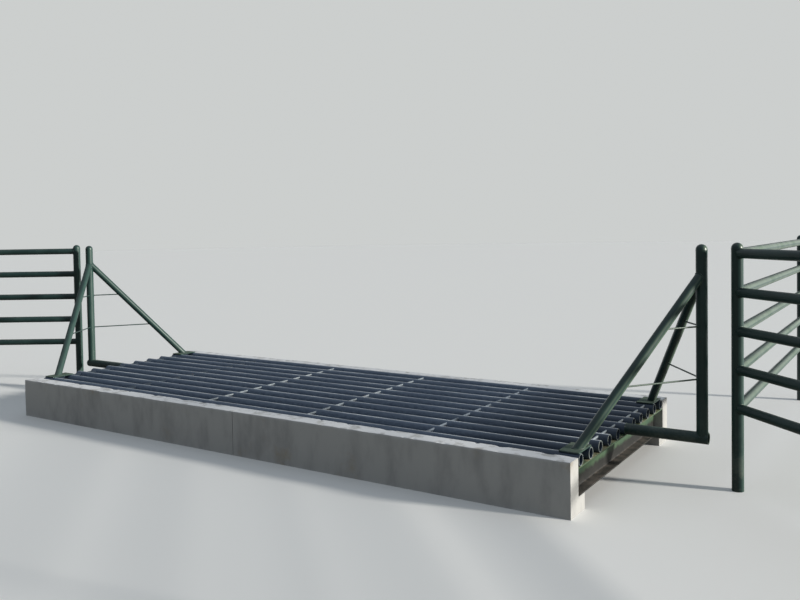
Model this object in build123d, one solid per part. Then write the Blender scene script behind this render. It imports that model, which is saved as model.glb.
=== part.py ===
from build123d import *
import math
import os

# Cattle grid: eleven steel pipes on six cross beams, carried over a pit by two
# concrete sills, with a braced wing at each end and a post and rail fence beside it.
# +X runs along the pipes, +Y is the way traffic crosses, +Z is up, in millimetres.
# The origin is on the underside of the front sill, at the middle of the deck's length.

# Deck pipes
pipe_count = 11
pipe_pitch = 203.2
pipe_od = 88.9
pipe_wall = 7.6

# Cross beams, wide flange section
beam_count = 6
beam_spacing = 1219.2
beam_depth = 201.4
flange_width = 165.1
flange_thickness = 10.2
web_thickness = 6.2
root_bevel = 6.0
beam_overhang = 51.0

# Spacer plates that stand on the beams between the pipes
spacer_thickness = 9.5
spacer_drop = 12.0

# Concrete sills, a curb with an inner ledge that carries the beam ends
ledge_height = 120.0
ledge_width = 120.0
curb_width = 152.0
curb_drop = 12.0
curb_clearance = 3.0
curb_chamfer = 12.0
sill_left_extra = 98.0
sill_joint_gap = 6.0
sill_joint_x = -50.0

# Wings: a post on an outrigger of the deck's own pipe, two braces, four rods and two foot plates
wing_reach = 590.0
wing_post_od = 88.9
wing_post_rise = 1444.0
wing_post_lift = 10.0
outrigger_stub = 3.0
brace_od = 73.0
brace_rise = 1218.0
brace_foot_shift = 25.0
rod_diameter = 12.7
rod_sides = 8
rod_levels = 2
plate_width = 152.4
plate_length = 254.0
plate_thickness = 9.5

# Fence beside the grid
fence_post_od = 88.9
fence_post_rise = 1455.0
fence_gap = 255.0
bay_length = 3658.0
rail_od = 73.0
rail_count = 5
rail_pitch = 290.0
top_rail_drop = 80.0
left_flare_angle = 212.0
right_flare_angle = 316.0
right_rear_angle = 90.0

# Half-round post tops
dome_bands = 2

# Levels
beam_bottom_z = ledge_height
beam_top_z = beam_bottom_z + beam_depth
pipe_axis_z = beam_top_z + pipe_od / 2
pipe_top_z = beam_top_z + pipe_od
sill_height = pipe_top_z - curb_drop
plate_top_z = pipe_top_z + plate_thickness

# Places along X
deck_length = (beam_count - 1) * beam_spacing + flange_width
deck_end_x = deck_length / 2
end_beam_x = (beam_count - 1) * beam_spacing / 2
wing_post_x = deck_end_x + wing_reach
fence_post_x = wing_post_x + wing_post_od / 2 + fence_gap - fence_post_od / 2

# Places along Y, from the middle of the front sill's underside
beam_length = (pipe_count - 1) * pipe_pitch + 2 * beam_overhang
curb_inner_y = beam_length / 2 + curb_clearance
sill_outer_y = curb_inner_y + curb_width
sill_inner_y = curb_inner_y - ledge_width
deck_mid_y = (sill_outer_y + sill_inner_y) / 2
plate_mid_y = (pipe_count - 2) / 2 * pipe_pitch

on_end = (Align.CENTER, Align.CENTER, Align.MIN)


def direction(angle):
    """Unit vector in the ground plane at an angle in degrees from +X."""
    return Vector(math.cos(math.radians(angle)), math.sin(math.radians(angle)), 0)


def rod(start, end, diameter):
    """Solid round bar from one point to another."""
    run = end - start
    return Plane(origin=start, z_dir=run) * Cylinder(diameter / 2, run.length, align=on_end)


def tube(start, end, outer, wall):
    """Open pipe from one point to another."""
    return rod(start, end, outer) - rod(start, end, outer - 2 * wall)


def domed_post(foot, top_z, diameter):
    """Upright round post, its half-round top turned in even bands."""
    radius = diameter / 2
    profile = [(0, foot.Z), (radius, foot.Z)]
    for band in range(dome_bands):
        turn = math.radians(90 * band / dome_bands)
        profile.append((radius * math.cos(turn), top_z - radius + radius * math.sin(turn)))
    profile.append((0, top_z))
    half = make_face(Plane.XZ * Polyline(*profile, close=True))
    return Pos(foot.X, foot.Y, 0) * revolve(half, Axis.Z)


def node(name, *solids):
    """Write one named piece, of one solid or of several that don't touch."""
    shape = solids[0] if len(solids) == 1 else Compound(list(solids))
    export_step(shape, os.path.join("parts", name + ".step"))


def pipe_y(index):
    """Centre line of a deck pipe, counted from the front."""
    return deck_mid_y + (index - (pipe_count - 1) / 2) * pipe_pitch


def beam_x(index):
    """Centre line of a cross beam, counted from the left."""
    return (index - (beam_count - 1) / 2) * beam_spacing


def deck_pipes():
    """Open pipes laid across the beams."""
    for index in range(pipe_count):
        start = Vector(-deck_end_x, pipe_y(index), pipe_axis_z)
        end = Vector(deck_end_x, pipe_y(index), pipe_axis_z)
        node(f"deck_pipe_{index + 1:02d}", tube(start, end, pipe_od, pipe_wall))


def beam_section():
    """Wide flange outline with bevelled roots, centred on its web."""
    flange = Rectangle(flange_width, flange_thickness)
    flange_y = (beam_depth - flange_thickness) / 2
    outline = Rectangle(web_thickness, beam_depth)
    outline += Pos(0, flange_y) * flange
    outline += Pos(0, -flange_y) * flange
    roots = outline.vertices().filter_by(
        lambda v: abs(abs(v.X) - web_thickness / 2) < 0.01 and abs(v.Y) < beam_depth / 2 - 1
    )
    return chamfer(roots, root_bevel)


def cross_beams():
    """Rolled beams that run the way traffic crosses, from ledge to ledge."""
    mid_z = (beam_bottom_z + beam_top_z) / 2
    for index in range(beam_count):
        start = Plane(
            origin=(beam_x(index), deck_mid_y - beam_length / 2, mid_z),
            x_dir=(1, 0, 0),
            z_dir=(0, 1, 0),
        )
        node(f"cross_beam_{index + 1}", extrude(start * beam_section(), beam_length))


def spacer_plate(x, y):
    """Upright plate between two pipes, its straight-cut sides touching each pipe three times."""
    radius = pipe_od / 2
    half_pitch = pipe_pitch / 2
    tangent = radius * math.tan(math.radians(22.5))
    foot = (half_pitch - tangent, 0)
    waist_low = (half_pitch - radius, radius - tangent)
    waist_high = (half_pitch - radius, radius + tangent)
    height = pipe_od - spacer_drop
    shoulder = (waist_high[0] + height - waist_high[1], height)
    right = [foot, waist_low, waist_high, shoulder]
    left = [(-across, up) for across, up in reversed(right)]
    outline = make_face(Polyline(*right, *left, close=True))
    start = Plane(origin=(x - spacer_thickness / 2, y, beam_top_z), x_dir=(0, 1, 0), z_dir=(1, 0, 0))
    return extrude(start * outline, spacer_thickness)


def pipe_spacers():
    """One row of spacer plates over each beam."""
    for index in range(beam_count):
        gaps = [(pipe_y(k) + pipe_y(k + 1)) / 2 for k in range(pipe_count - 1)]
        plates = [spacer_plate(beam_x(index), y) for y in gaps]
        node(f"pipe_spacers_{index + 1}", *plates)


def sill(left_x, right_x, side):
    """One length of concrete sill, front for side -1 and rear for side 1."""
    profile = Polyline(
        (sill_inner_y, 0),
        (sill_outer_y, 0),
        (sill_outer_y, sill_height - curb_chamfer),
        (sill_outer_y - curb_chamfer, sill_height),
        (curb_inner_y + curb_chamfer, sill_height),
        (curb_inner_y, sill_height - curb_chamfer),
        (curb_inner_y, ledge_height),
        (sill_inner_y, ledge_height),
        close=True,
    )
    start = Plane(origin=(left_x, 0, 0), x_dir=(0, 1, 0), z_dir=(1, 0, 0))
    rear = extrude(start * make_face(profile), right_x - left_x)
    placed = rear if side > 0 else mirror(rear, Plane.XZ)
    return Pos(0, deck_mid_y, 0) * placed


def sills():
    """Front and rear sills, each cast in two lengths that meet at an open joint."""
    left_end = -deck_end_x - sill_left_extra
    joint_left = sill_joint_x - sill_joint_gap / 2
    joint_right = sill_joint_x + sill_joint_gap / 2
    for side, name in ((-1, "front"), (1, "rear")):
        node(f"{name}_sill_left", sill(left_end, joint_left, side))
        node(f"{name}_sill_right", sill(joint_right, deck_end_x, side))


def foot_plate(side, end):
    """Flat plate across the two outermost pipes, where a brace stands."""
    place = Pos(side * end_beam_x, deck_mid_y + end * plate_mid_y, pipe_top_z)
    return place * Box(plate_width, plate_length, plate_thickness, align=on_end)


def brace(side, end):
    """Sloping pipe from its foot plate to the wing post, cut to fit both."""
    foot = Vector(side * (end_beam_x + brace_foot_shift), deck_mid_y + end * plate_mid_y, plate_top_z)
    head = Vector(side * wing_post_x, deck_mid_y, pipe_top_z + brace_rise)
    slope = (head - foot).normalized()
    start = foot - slope * brace_od
    bar = rod(start, head, brace_od)
    bar -= Pos(foot.X, foot.Y, plate_top_z) * Box(
        4 * brace_od, 4 * brace_od, 4 * brace_od, align=(Align.CENTER, Align.CENTER, Align.MAX)
    )
    bar -= rod(Vector(head.X, head.Y, plate_top_z), head + Vector(0, 0, 2 * brace_od), wing_post_od)
    across = Pos(head.X, deck_mid_y, head.Z) * Box(
        4 * brace_od, 2 * brace_od, 4 * brace_od,
        align=(Align.CENTER, Align.MAX if end > 0 else Align.MIN, Align.CENTER),
    )
    return bar - across


def wing_rods(side):
    """Level bars from the post's skin to each brace's, at even heights below the braces' head."""
    section = RegularPolygon(radius=rod_diameter / 2, side_count=rod_sides)
    bars = []
    head = Vector(side * wing_post_x, deck_mid_y, pipe_top_z + brace_rise)
    for end in (-1, 1):
        foot = Vector(side * (end_beam_x + brace_foot_shift), deck_mid_y + end * plate_mid_y, plate_top_z)
        slope = (head - foot).normalized()
        for level in range(1, rod_levels + 1):
            on_brace = foot + (head - foot) * (level / (rod_levels + 1))
            run = (on_brace - Vector(head.X, head.Y, on_brace.Z)).normalized()
            square = (run - slope * run.dot(slope)).normalized()
            start = Vector(head.X, head.Y, on_brace.Z) + run * (wing_post_od / 2)
            bar = extrude(Plane(origin=start, z_dir=run) * section, (on_brace - start).length)
            skin = Plane(origin=on_brace - square * (brace_od / 2), z_dir=square)
            bars.append(split(bar, bisect_by=skin, keep=Keep.BOTTOM))
    return bars


def wing(side, name):
    """Everything at one end of the deck that guards its flank."""
    inner = Vector(side * deck_end_x, deck_mid_y, pipe_axis_z)
    outer = Vector(side * (wing_post_x + wing_post_od / 2 + outrigger_stub), deck_mid_y, pipe_axis_z)
    node(f"{name}_wing_outrigger", tube(inner, outer, pipe_od, pipe_wall))
    foot = Vector(side * wing_post_x, deck_mid_y, pipe_axis_z + wing_post_lift)
    post = domed_post(foot, pipe_top_z + wing_post_rise, wing_post_od)
    node(f"{name}_wing_post", post - rod(inner, outer, pipe_od))
    node(f"{name}_wing_front_brace", brace(side, -1))
    node(f"{name}_wing_rear_brace", brace(side, 1))
    node(f"{name}_wing_rods", *wing_rods(side))
    node(f"{name}_wing_foot_plates", foot_plate(side, -1), foot_plate(side, 1))


def fence_post(place):
    """Domed post that runs down to the level of the sills' underside."""
    foot = Vector(place.X, place.Y, 0)
    return domed_post(foot, pipe_top_z + fence_post_rise, fence_post_od)


def fence_rails(start, end):
    """Five level pipes between two posts, their ends cut to the posts."""
    rails = []
    for index in range(rail_count):
        level = pipe_top_z + fence_post_rise - top_rail_drop - index * rail_pitch
        first = Vector(start.X, start.Y, level)
        last = Vector(end.X, end.Y, level)
        rail = rod(first, last, rail_od)
        for post in (first, last):
            reach = Vector(0, 0, rail_od)
            rail -= rod(post - reach, post + reach, fence_post_od)
        rails.append(rail)
    return rails


def fences():
    """One bay that flares from the left post, and two bays from the right post."""
    left = Vector(-fence_post_x, deck_mid_y, 0)
    right = Vector(fence_post_x, deck_mid_y, 0)
    left_end = left + direction(left_flare_angle) * bay_length
    right_front = right + direction(right_flare_angle) * bay_length
    right_rear = right + direction(right_rear_angle) * bay_length
    node("left_fence_post", fence_post(left))
    node("left_fence_end_post", fence_post(left_end))
    node("left_fence_rails", *fence_rails(left, left_end))
    node("right_fence_post", fence_post(right))
    node("right_front_end_post", fence_post(right_front))
    node("right_front_rails", *fence_rails(right, right_front))
    node("right_rear_end_post", fence_post(right_rear))
    node("right_rear_rails", *fence_rails(right, right_rear))


os.makedirs("parts", exist_ok=True)
deck_pipes()
cross_beams()
pipe_spacers()
sills()
wing(-1, "left")
wing(1, "right")
fences()
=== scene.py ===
import math

import bmesh
import bpy
import numpy as np
from bpy.props import FloatProperty, FloatVectorProperty, IntProperty, PointerProperty
from mathutils import Matrix, Vector


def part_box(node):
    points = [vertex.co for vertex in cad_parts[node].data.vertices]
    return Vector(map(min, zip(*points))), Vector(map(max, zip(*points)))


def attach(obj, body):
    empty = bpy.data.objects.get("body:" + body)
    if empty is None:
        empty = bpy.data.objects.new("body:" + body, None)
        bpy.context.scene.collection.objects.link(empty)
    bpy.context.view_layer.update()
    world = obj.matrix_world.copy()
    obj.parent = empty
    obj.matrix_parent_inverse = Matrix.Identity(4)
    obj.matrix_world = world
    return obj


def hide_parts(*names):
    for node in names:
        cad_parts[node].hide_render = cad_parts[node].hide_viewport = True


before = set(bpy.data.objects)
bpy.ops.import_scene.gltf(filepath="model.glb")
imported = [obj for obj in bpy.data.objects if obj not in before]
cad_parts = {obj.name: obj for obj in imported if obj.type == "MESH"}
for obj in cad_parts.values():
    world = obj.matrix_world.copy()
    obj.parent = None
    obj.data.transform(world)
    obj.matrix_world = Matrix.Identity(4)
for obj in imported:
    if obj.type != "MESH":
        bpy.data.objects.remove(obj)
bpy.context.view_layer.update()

bl_info = {
    "name": "Pipe Cattle Grid",
    "version": (1, 0, 0),
    "blender": (4, 5, 0),
    "location": "View3D > Sidebar > Cattle Grid",
    "description": "Dresses a pipe cattle grid, its wings, sills and fence bays",
    "category": "Object",
}

UP = np.array([0.0, 0.0, 1.0])
ALONG = np.array([1.0, 0.0, 0.0])
AHEAD = np.array([0.0, 1.0, 0.0])

PIPES = [f"deck_pipe_{index:02d}" for index in range(1, 12)]
BEAMS = [f"cross_beam_{index}" for index in range(1, 7)]
SPACERS = [f"pipe_spacers_{index}" for index in range(1, 7)]
SILLS = ["front_sill_left", "front_sill_right", "rear_sill_left", "rear_sill_right"]
FENCE_POSTS = [
    "left_fence_post",
    "left_fence_end_post",
    "right_fence_post",
    "right_front_end_post",
    "right_rear_end_post",
]
RAILS = {
    "left_fence_rails": ("left_fence_post", "left_fence_end_post"),
    "right_front_rails": ("right_fence_post", "right_front_end_post"),
    "right_rear_rails": ("right_fence_post", "right_rear_end_post"),
}


def corners(node):
    """Lowest and highest corner of a CAD node, in metres."""
    low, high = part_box(node)
    return np.array(low, float), np.array(high, float)


def middle(node):
    """Middle of a CAD node's box."""
    low, high = corners(node)
    return (low + high) / 2


def height_of(node):
    """Height of a CAD node."""
    low, high = corners(node)
    return float(high[2] - low[2])


PIPE_RADIUS = height_of("deck_pipe_01") / 2
POST_RADIUS = float(np.ptp(corners("right_wing_post"), axis=0)[0]) / 2
DECK_MIDDLE = middle("deck_pipe_06")
DECK_END = float(corners("deck_pipe_06")[1][0])
CREST = float(corners("deck_pipe_06")[1][2])
# Top of the painted shade on the beams' lower webs
PAINTED_SHADE_TOP = float(middle("cross_beam_1")[2])

# Finish and slot of every green piece
GREEN = ("green_pipe_paint", "green_paint")

# Points round a deck pipe or post
ROUND = 56

# Share of the usual weld at an outrigger and at a spacer plate
THIN_WELD = 0.6
SPACER_WELD = 0.7


# Sizes and colours that a user may change


def metres(name, description, value):
    """A length setting."""
    return FloatProperty(name=name, description=description, default=value, unit="LENGTH")


def turn_by(name, description, value):
    """An angle setting, in radians."""
    return FloatProperty(name=name, description=description, default=value, unit="ROTATION")


def number_of(name, description, value, least):
    """A whole number setting."""
    return IntProperty(name=name, description=description, default=value, min=least)


def colour(name, description, value):
    """A colour setting."""
    return FloatVectorProperty(
        name=name, description=description, subtype="COLOR", size=3, min=0, max=1, default=value
    )


class GridSizes(bpy.types.PropertyGroup):
    """Sizes of the details that finish the frame."""

    pipe_wall: metres("Deck pipe wall", "Wall of a deck pipe", 0.0076)
    rim: metres("Rim", "Rounding of a sawn pipe end", 0.0012)
    flange: metres("Flange", "Beam flange thickness", 0.0102)
    web: metres("Web", "Beam web thickness", 0.0062)
    root_radius: metres("Root radius", "Rolled root of a beam", 0.009)
    rail_radius: metres("Rail radius", "Radius of rails and braces", 0.0365)
    rail_pitch: metres("Rail pitch", "Height from rail to rail", 0.290)
    rail_drop: metres("Rail drop", "Top rail below the post's top", 0.080)
    rail_count: number_of("Rails", "Rails in a bay", 5, 1)
    rod_radius: metres("Rod radius", "Radius of a wing rod", 0.00635)
    brace_head: metres("Brace head", "Brace head above the deck", 1.218)
    brace_shift: metres("Brace shift", "Brace foot past its plate's middle", 0.025)
    plate_rounding: metres("Plate rounding", "Rounding of a foot plate's corners", 0.006)
    post_lift: metres("Post lift", "Wing post's foot above its outrigger's axis", 0.010)
    cap_seam: metres("Cap seam", "Height of the seam under a post cap", 0.0011)
    cap_slope: metres("Cap slope", "Length of each step of the seam", 0.003)
    weld: metres("Weld", "Radius of a pipe weld", 0.0048)
    rod_weld: metres("Rod weld", "Radius of a rod weld", 0.0028)
    seat_spread: metres("Seat spread", "Seat weld's distance from its pipe's middle", 0.018)
    seat_rise: metres("Seat rise", "Seat weld's height over its beam", 0.003)
    kerb_gap: metres("Kerb gap", "Gap between a beam's end and the kerb", 0.003)
    kerb_chamfer: metres("Kerb chamfer", "Chamfer along a kerb's upper edges", 0.004)
    chip: metres("Chip", "Deepest chip in a sill edge", 0.009)
    chip_reach: metres("Chip reach", "How far a chip fades away from its edge", 0.017)
    chip_count: number_of("Chips", "Chips along one sill edge", 16, 0)


class GridColours(bpy.types.PropertyGroup):
    """Colours of the finishes, as linear values."""

    green: colour("Green", "Paint of posts, braces and rails", (0.011, 0.034, 0.032))
    green_faded: colour("Faded green", "The same paint where it has chalked", (0.034, 0.082, 0.074))
    # Paler paint on the side facing the lamp: partly sun chalking, partly painted light
    green_chalk_and_sunlit: colour("Bleached green", "The same paint on the sunny side", (0.039, 0.090, 0.075))
    # Palest paint: dust on flat plate tops, and dust with painted light on sloping pipes facing the lamp
    green_dust_and_sunlit: colour("Chalky green", "The same paint where it is palest", (0.150, 0.215, 0.150))
    beam_green: colour("Beam green", "Paint of the cross beams", (0.070, 0.125, 0.068))
    deck: colour("Deck", "Paint of the deck pipes", (0.059, 0.090, 0.147))
    # Darker deck paint, laid toward the +X end
    deck_darker_end: colour("Kept deck paint", "Deck paint where no wheel runs", (0.026, 0.042, 0.070))
    deck_grey: colour("Deck grey", "Deck paint rubbed thin", (0.112, 0.152, 0.218))
    # Painted light: lighter paint on the pipes' sides below the crest, lifting their shade
    deck_side_painted_light: colour("Dusty deck", "Splashed sides of the deck pipes", (0.146, 0.192, 0.266))
    bare: colour("Bare", "Steel rubbed bright", (0.58, 0.63, 0.68))
    # Pale colour along a spacer plate's top; the dark one lies lower down and on the two -X rows
    spacer: colour("Spacer", "Scuffed face of a spacer plate", (0.42, 0.47, 0.50))
    spacer_dark: colour("Dark spacer", "Spacer plate still in its paint", (0.022, 0.034, 0.052))
    rim: colour("Rim", "Sawn end of a deck pipe", (0.22, 0.25, 0.24))
    rust: colour("Rust", "Rusted steel", (0.105, 0.048, 0.024))
    dust: colour("Dust", "Pale road dust", (0.44, 0.39, 0.31))
    straw: colour("Straw", "Dirt on the end beams", (0.34, 0.31, 0.18))
    # Painted shade: near black on the lower webs, where the pit's bank would shade them
    painted_shade: colour("Mud", "Wet mud low on the beams", (0.018, 0.019, 0.018))
    silt: colour("Silt", "Dried silt on the lower flanges", (0.115, 0.098, 0.084))
    lime: colour("Lime", "Pale grit on top of the sills", (0.78, 0.79, 0.81))
    concrete: colour("Concrete", "Clean concrete", (0.54, 0.54, 0.53))
    concrete_stain: colour("Stain", "Stained concrete", (0.30, 0.295, 0.30))
    floor: colour("Floor", "Studio floor", (0.90, 0.90, 0.89))
    floor_bounce: colour("Floor bounce", "Floor as it lights the object", (0.26, 0.25, 0.22))
    backdrop: colour("Backdrop", "Studio backdrop", (0.604, 0.622, 0.615))
    sky: colour("Sky", "Tint of the soft light from above", (0.82, 0.91, 1.0))
    lamp: colour("Lamp", "Tint of the low lamp", (1.0, 0.96, 0.88))


class GridStage(bpy.types.PropertyGroup):
    """Camera and lamps."""

    camera_place: FloatVectorProperty(
        name="Camera place",
        description="Where the camera stands",
        subtype="TRANSLATION",
        unit="LENGTH",
        default=(5.1547, -5.3144, 2.0105),
    )
    heading: turn_by("Heading", "Turn from +Y, right positive", -0.57827)
    tilt: turn_by("Tilt", "Tilt down", 0.0313)
    roll: turn_by("Roll", "Lean of the frame", -0.01612)
    lens: FloatProperty(name="Lens", description="Focal length on a 36 mm frame, in mm", default=36.309)
    shift: FloatProperty(
        name="Shift", description="Shift of the frame down the picture, in picture widths", default=-0.05785
    )
    sun_turn: turn_by("Lamp turn", "Low lamp's bearing from +X", 0.22)
    sun_height: turn_by("Lamp height", "Low lamp's height", 0.26)
    sun_width: turn_by("Lamp width", "Width of the low lamp as the object sees it", math.radians(5))
    sun_strength: FloatProperty(name="Lamp strength", description="Low lamp's strength", default=4.4)
    sky_strength: FloatProperty(name="Sky strength", description="Soft light all round", default=0.30)


# Surfaces


def unit(vector):
    """Vector of length one along the given one."""
    vector = np.asarray(vector, float)
    return vector / np.linalg.norm(vector)


def across(axis):
    """Two unit vectors a and b square to an axis, with a x b along it."""
    axis = unit(axis)
    first = unit(np.cross(UP, axis)) if abs(axis[2]) < 0.99 else ALONG
    return first, np.cross(axis, first)


def ring(centre, axis, radius, count=48):
    """Circle centre + r*(a cos u + b sin u), u once round an axis."""
    first, second = across(axis)
    turn = np.linspace(0, 2 * np.pi, count, endpoint=False)[:, None]
    return centre + radius * (np.cos(turn) * first + np.sin(turn) * second)


def reach(points, heading, axis_point, axis, radius, far):
    """Length t at which P + t*h is a radius away from an axis, on its near or far side.

    With p and h taken square to the axis, t solves |p + t*h|^2 = r^2.
    """
    axis = unit(axis)
    offset = points - axis_point
    offset = offset - np.outer(offset @ axis, axis)
    square = heading - (heading @ axis) * axis
    a = square @ square
    b = offset @ square
    c = (offset * offset).sum(1) - radius**2
    root = np.sqrt(np.maximum(b * b - a * c, 0.0))
    return (-b + (root if far else -root)) / a


class Shell:
    """Points and faces of several surfaces, gathered before they become one mesh."""

    def __init__(self):
        self.points = []
        self.faces = []
        self.count = 0

    def grid(self, surface):
        """Adds the surface P(row, column) as quads, its last column joined to its first."""
        rows, columns = surface.shape[:2]
        row = np.arange(rows - 1)[:, None]
        column = np.arange(columns)[None, :]
        after = (column + 1) % columns
        quads = [row * columns + column, row * columns + after]
        quads += [(row + 1) * columns + after, (row + 1) * columns + column]
        quads = np.stack(np.broadcast_arrays(*quads), -1).reshape(-1, 4) + self.count
        self.faces += quads.tolist()
        self.points.append(surface.reshape(-1, 3))
        self.count += rows * columns

    def capped(self, surface):
        """Adds a surface with a flat face over its first row and over its last one."""
        self.grid(surface)
        for loop in (surface[0][::-1], surface[-1]):
            self.faces.append(list(range(self.count, self.count + len(loop))))
            self.points.append(loop)
            self.count += len(loop)

    def piece(self, name, material, slot, replaces=(), smooth=38.0):
        """The finished piece: doubles merged, faces turned outward, sharp edges kept."""
        mesh = bpy.data.meshes.new(name)
        mesh.from_pydata(np.concatenate(self.points).tolist(), [], self.faces)
        work = bmesh.new()
        work.from_mesh(mesh)
        bmesh.ops.remove_doubles(work, verts=work.verts, dist=2e-6)
        bmesh.ops.dissolve_degenerate(work, edges=work.edges, dist=1e-7)
        bmesh.ops.recalc_face_normals(work, faces=work.faces)
        work.to_mesh(mesh)
        work.free()
        mesh.polygons.foreach_set("use_smooth", np.ones(len(mesh.polygons), bool))
        mesh.set_sharp_from_angle(angle=math.radians(smooth))
        mesh.materials.append(bpy.data.materials[material])
        piece = bpy.data.objects.new(name, mesh)
        bpy.context.scene.collection.objects.link(piece)
        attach(piece, "root")
        if replaces:
            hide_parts(*replaces)
        return piece


def closed_rows(surface):
    """A surface whose first and last rows are drawn in to the middle of each."""
    first = np.broadcast_to(surface[0].mean(0), surface[:1].shape)
    last = np.broadcast_to(surface[-1].mean(0), surface[:1].shape)
    return np.concatenate([first, surface, last])


def bar(shell, start, end, radius, low, high, count=48):
    """Round bar P(t, u) = ring(u) + t*h with t from low(u) to high(u). Returns both end curves."""
    heading = unit(end - start)
    base = ring(start, heading, radius, count)
    share = np.linspace(0, 1, 4)[:, None]
    length = low + (high - low) * share
    surface = base[None] + length[..., None] * heading
    shell.grid(closed_rows(surface))
    return surface[0], surface[-1]


def hollow_pipe(shell, start, end, radius, wall, rim, count=48):
    """Open pipe: a closed profile of length and radius, its four edges cut off by the rim, turned once."""
    heading = unit(end - start)
    length = np.linalg.norm(end - start)
    inner = radius - wall
    profile = np.array(
        [
            (rim, radius),
            (length / 2, radius),
            (length - rim, radius),
            (length, radius - rim),
            (length, inner + rim),
            (length - rim, inner),
            (length / 2, inner),
            (rim, inner),
            (0, inner + rim),
            (0, radius - rim),
            (rim, radius),
        ]
    )
    circle = ring(np.zeros(3), heading, 1.0, count)
    surface = start + profile[:, None, :1] * heading + profile[:, None, 1:] * circle[None]
    shell.grid(surface)


def bead(shell, curve, outward, radius, sides=6, lumps=14, closed=True):
    """Weld bead: rings of radius r*(1 + k cos(n v) + m cos(3 v + 1)) carried along a curve, v its way."""
    ahead = np.roll(curve, -1, 0) - np.roll(curve, 1, 0)
    if not closed:
        ahead[0], ahead[-1] = curve[1] - curve[0], curve[-1] - curve[-2]
    ahead /= np.linalg.norm(ahead, axis=1, keepdims=True)
    outward = outward - (outward * ahead).sum(1, keepdims=True) * ahead
    outward /= np.linalg.norm(outward, axis=1, keepdims=True)
    third = np.cross(ahead, outward)
    way = 2 * np.pi * np.arange(len(curve)) / len(curve)
    coarse, slow = 0.13, 0.06
    size = radius * (1 + coarse * np.cos(lumps * way) + slow * np.cos(3 * way + 1))
    turn = np.linspace(0, 2 * np.pi, sides, endpoint=False)[None, :, None]
    circle = np.cos(turn) * outward[:, None] + np.sin(turn) * third[:, None]
    surface = curve[:, None] + size[:, None, None] * circle
    if closed:
        shell.grid(np.concatenate([surface, surface[:1]]))
    else:
        shell.grid(closed_rows(surface))


def radial(curve, start, heading):
    """Unit vectors that point from an axis out to each point of a curve."""
    offset = curve - start
    offset = offset - np.outer(offset @ heading, heading)
    return offset / np.linalg.norm(offset, axis=1, keepdims=True)


def post_surface(centre, foot, top, sizes):
    """Post with a half-round cap: P(v, u) = (r(v) cos u, r(v) sin u, z(v)).

    r is the post's radius up to the cap's seam, which stands out a little, and then
    follows a quarter circle to the tip. The foot's height is given for each u.
    """
    count = len(foot)
    turn = np.linspace(0, 2 * np.pi, count, endpoint=False)
    slope = sizes.cap_slope
    skin = POST_RADIUS - sizes.cap_seam
    spring = top - POST_RADIUS
    quarter = np.linspace(0, np.pi / 2, 11)[1:]
    radii = np.concatenate([[skin] * 4, [POST_RADIUS] * 2, [skin], skin * np.cos(quarter)])
    seam = spring + slope * np.array([-2, -1, 0, 1])
    dome = spring + slope + (POST_RADIUS - slope) * np.sin(quarter)
    levels = np.concatenate([seam, dome])[:, None]
    below_seam = 0.007
    shaft = np.array([0.0, 0.5, 1.0])[:, None] * (spring - below_seam - foot) + foot
    levels = np.concatenate([shaft, np.broadcast_to(levels, (len(levels), count))])
    x = centre[0] + radii[:, None] * np.cos(turn)
    y = centre[1] + radii[:, None] * np.sin(turn)
    return np.stack([x, y, levels], -1)


def swept(shell, profile, origin, side, upward, heading, stations):
    """Prism P(s, v) = O + y(v)*a + z(v)*b + s*h over a closed profile, with a flat face at each end."""
    section = origin + profile[:, :1] * side + profile[:, 1:] * upward
    shell.capped(section[None] + np.asarray(stations)[:, None, None] * heading)


def arc(centre, radius, first, last, count):
    """Points of a circle from one angle to another, in degrees."""
    turn = np.radians(np.linspace(first, last, count))
    return np.stack([centre[0] + radius * np.cos(turn), centre[1] + radius * np.sin(turn)], -1)


# Finishes


def put(tree, kind, inputs=None, **settings):
    """A node with its settings and its inputs, each a value or another node's output."""
    node = tree.nodes.new(kind)
    for name, value in settings.items():
        setattr(node, name, value)
    for name, value in (inputs or {}).items():
        if isinstance(value, bpy.types.NodeSocket):
            tree.links.new(value, node.inputs[name])
        else:
            node.inputs[name].default_value = value
    return node


def sums(tree, operation, first, second=0.0, third=0.0, clamp=False):
    """One step of arithmetic."""
    inputs = {0: first, 1: second, 2: third}
    return put(tree, "ShaderNodeMath", inputs, operation=operation, use_clamp=clamp).outputs[0]


def together(tree, operation, *masks):
    """Masks taken together one by one, kept between nought and one."""
    total = masks[0]
    for mask in masks[1:]:
        total = sums(tree, operation, total, mask, clamp=True)
    return total


def opaque(value):
    """A colour with full cover. A node's output stays as it is."""
    return value if isinstance(value, bpy.types.NodeSocket) else (*value, 1.0)


def blend(tree, mask, below, above):
    """One colour over another by a mask."""
    inputs = {0: mask, 6: opaque(below), 7: opaque(above)}
    return put(tree, "ShaderNodeMix", inputs, data_type="RGBA").outputs[2]


def between(tree, mask, low, high):
    """A number that runs from one value to another with a mask."""
    return sums(tree, "MULTIPLY_ADD", mask, high - low, low)


def smooth_step(tree, value, low, high):
    """Nought at the low value and one at the high one, with soft ends. Low may be the larger."""
    inputs = {"Value": value, "From Min": low, "From Max": high}
    return put(tree, "ShaderNodeMapRange", inputs, interpolation_type="SMOOTHSTEP").outputs[0]


def noise(tree, vector, scale, detail=3.0, rough=0.55):
    """Cloudy noise from nought to one."""
    inputs = {"Vector": vector, "Scale": scale, "Detail": detail, "Roughness": rough}
    return put(tree, "ShaderNodeTexNoise", inputs).outputs[0]


def stretch(tree, vector, factors):
    """Coordinates scaled along each axis."""
    return put(tree, "ShaderNodeVectorMath", {0: vector, 1: factors}, operation="MULTIPLY").outputs[0]


def parts_of(tree, vector):
    """The three parts of a vector."""
    return put(tree, "ShaderNodeSeparateXYZ", {0: vector}).outputs


def facing(tree):
    """The three parts of the surface's normal."""
    return parts_of(tree, put(tree, "ShaderNodeNewGeometry").outputs["Normal"])


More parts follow.
